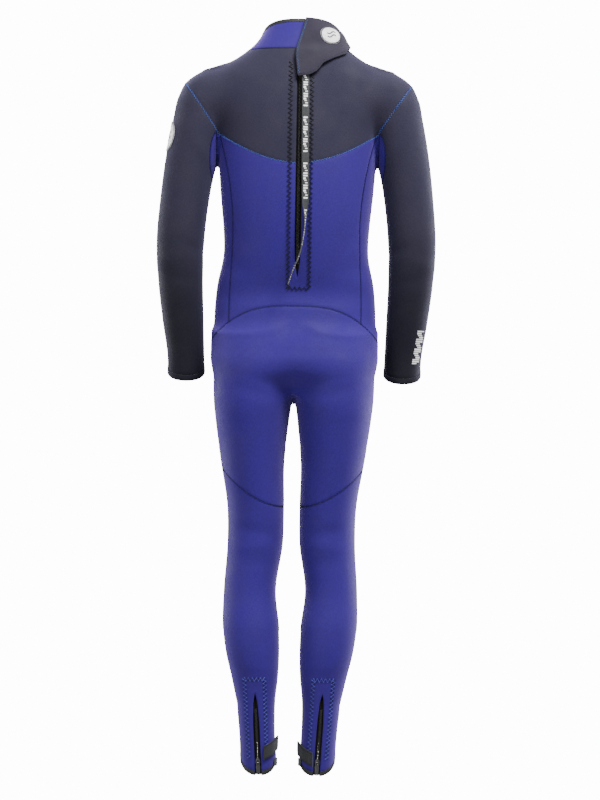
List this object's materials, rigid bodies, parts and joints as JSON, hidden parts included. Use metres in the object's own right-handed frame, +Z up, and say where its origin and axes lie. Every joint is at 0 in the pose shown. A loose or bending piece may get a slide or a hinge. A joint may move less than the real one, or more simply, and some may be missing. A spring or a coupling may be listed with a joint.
{
  "type": "full wetsuit",
  "caption": "Child's long-sleeved full wetsuit of panelled foam, with a back zip and leash, a closing collar flap, ankle zips and ankle straps.",
  "frame": {"origin": "centre of the neck, halfway up the collar", "axes": "+Z up the body, -Y out of the chest, +X to the wearer's left"},
  "size_m": [0.4374, 0.1863, 1.1881],
  "materials": {
    "black_jersey": "matte knitted jersey over foam",
    "blue_jersey": "matte knitted jersey over foam",
    "knee_fabric": "coarse abrasion-resistant weave",
    "black_rubber": "matte bound edge",
    "zip_tape": "woven tape",
    "zip_coil": "semi-gloss coil",
    "slider_metal": "dark satin",
    "webbing": "woven ribbon with a light print",
    "hook_and_loop": "fuzzy woven tape",
    "badge_print": "printed, satin"
  },
  "bodies": {
    "suit": {"ankle_binding_left": "black_rubber", "ankle_binding_right": "black_rubber", "ankle_loop_patch_left": "hook_and_loop", "ankle_loop_patch_right": "hook_and_loop", "ankle_zip_chain_left": "zip_coil", "ankle_zip_chain_right": "zip_coil", "ankle_zip_tape_inner_left": "zip_tape", "ankle_zip_tape_inner_right": "zip_tape", "ankle_zip_tape_outer_left": "zip_tape", "ankle_zip_tape_outer_right": "zip_tape", "back_panel": "blue_jersey", "back_yoke_left": "black_jersey", "back_yoke_right": "black_jersey", "back_zip_chain": "zip_coil", "back_zip_guard": "black_jersey", "back_zip_tape_left": "zip_tape", "back_zip_tape_right": "zip_tape", "calf_panel_left": "blue_jersey", "calf_panel_right": "blue_jersey", "chest_panel": "black_jersey", "collar": "blue_jersey", "collar_binding": "black_rubber", "cuff_hem_left": "black_jersey", "cuff_hem_right": "black_jersey", "front_panel": "black_jersey", "front_thigh_left": "black_jersey", "front_thigh_right": "black_jersey", "knee_pad_left": "knee_fabric", "knee_pad_right": "knee_fabric", "seat_panel": "blue_jersey", "shin_panel_left": "black_jersey", "shin_panel_right": "black_jersey", "side_panel_left": "blue_jersey", "side_panel_right": "blue_jersey", "sleeve_badge": "badge_print", "sleeve_left": "black_jersey", "sleeve_right": "black_jersey", "underarm_gusset_left": "blue_jersey", "underarm_gusset_right": "blue_jersey"},
    "back_slider": {"back_zip_slider": "slider_metal", "back_pull_tab": "slider_metal", "zip_leash": "webbing"},
    "flap": {"collar_flap": "black_jersey", "collar_badge": "badge_print"},
    "ankle_slider_left": {"ankle_zip_slider_left": "slider_metal"},
    "ankle_tab_left": {"ankle_pull_tab_left": "slider_metal"},
    "ankle_strap_left": {"ankle_strap_left": "hook_and_loop"},
    "ankle_slider_right": {"ankle_zip_slider_right": "slider_metal"},
    "ankle_tab_right": {"ankle_pull_tab_right": "slider_metal"},
    "ankle_strap_right": {"ankle_strap_right": "hook_and_loop"}
  },
  "joints": [
    {"name": "back_zip", "type": "hinge", "parent": "suit", "child": "back_slider", "pos_m": [-0.0025, -0.506, -0.225], "axis": [-1, 0, 0], "range_deg": [0, 29], "deforming": ["zip_leash"]},
    {"name": "flap_fold", "type": "hinge", "parent": "suit", "child": "flap", "pos_m": [-0.07773, -0.015, -0.012], "axis": [0.5599, 0, 0.8286], "range_deg": [0, 100]},
    {"name": "ankle_zip_left", "type": "slide", "parent": "suit", "child": "ankle_slider_left", "axis": [0.0572, 0.0858, 0.9947], "range_m": [0, 0.07]},
    {"name": "ankle_tab_swing_left", "type": "hinge", "parent": "ankle_slider_left", "child": "ankle_tab_left", "pos_m": [0.04581, 0.03814, -1.14562], "axis": [-0.9983, 0, 0.0575], "range_deg": [0, 150]},
    {"name": "strap_fold_left", "type": "hinge", "parent": "suit", "child": "ankle_strap_left", "pos_m": [0.04015, 0.04138, -1.11879], "axis": [-0.0572, -0.0858, -0.9947], "range_deg": [0, 140]},
    {"name": "ankle_zip_right", "type": "slide", "parent": "suit", "child": "ankle_slider_right", "axis": [-0.0572, 0.0858, 0.9947], "range_m": [0, 0.07]},
    {"name": "ankle_tab_swing_right", "type": "hinge", "parent": "ankle_slider_right", "child": "ankle_tab_right", "pos_m": [-0.04581, 0.03814, -1.14562], "axis": [-0.9983, 0, -0.0575], "range_deg": [0, 150]},
    {"name": "strap_fold_right", "type": "hinge", "parent": "suit", "child": "ankle_strap_right", "pos_m": [-0.0411, 0.04056, -1.12838], "axis": [-0.0572, 0.0858, 0.9947], "range_deg": [0, 140]}
  ]
}
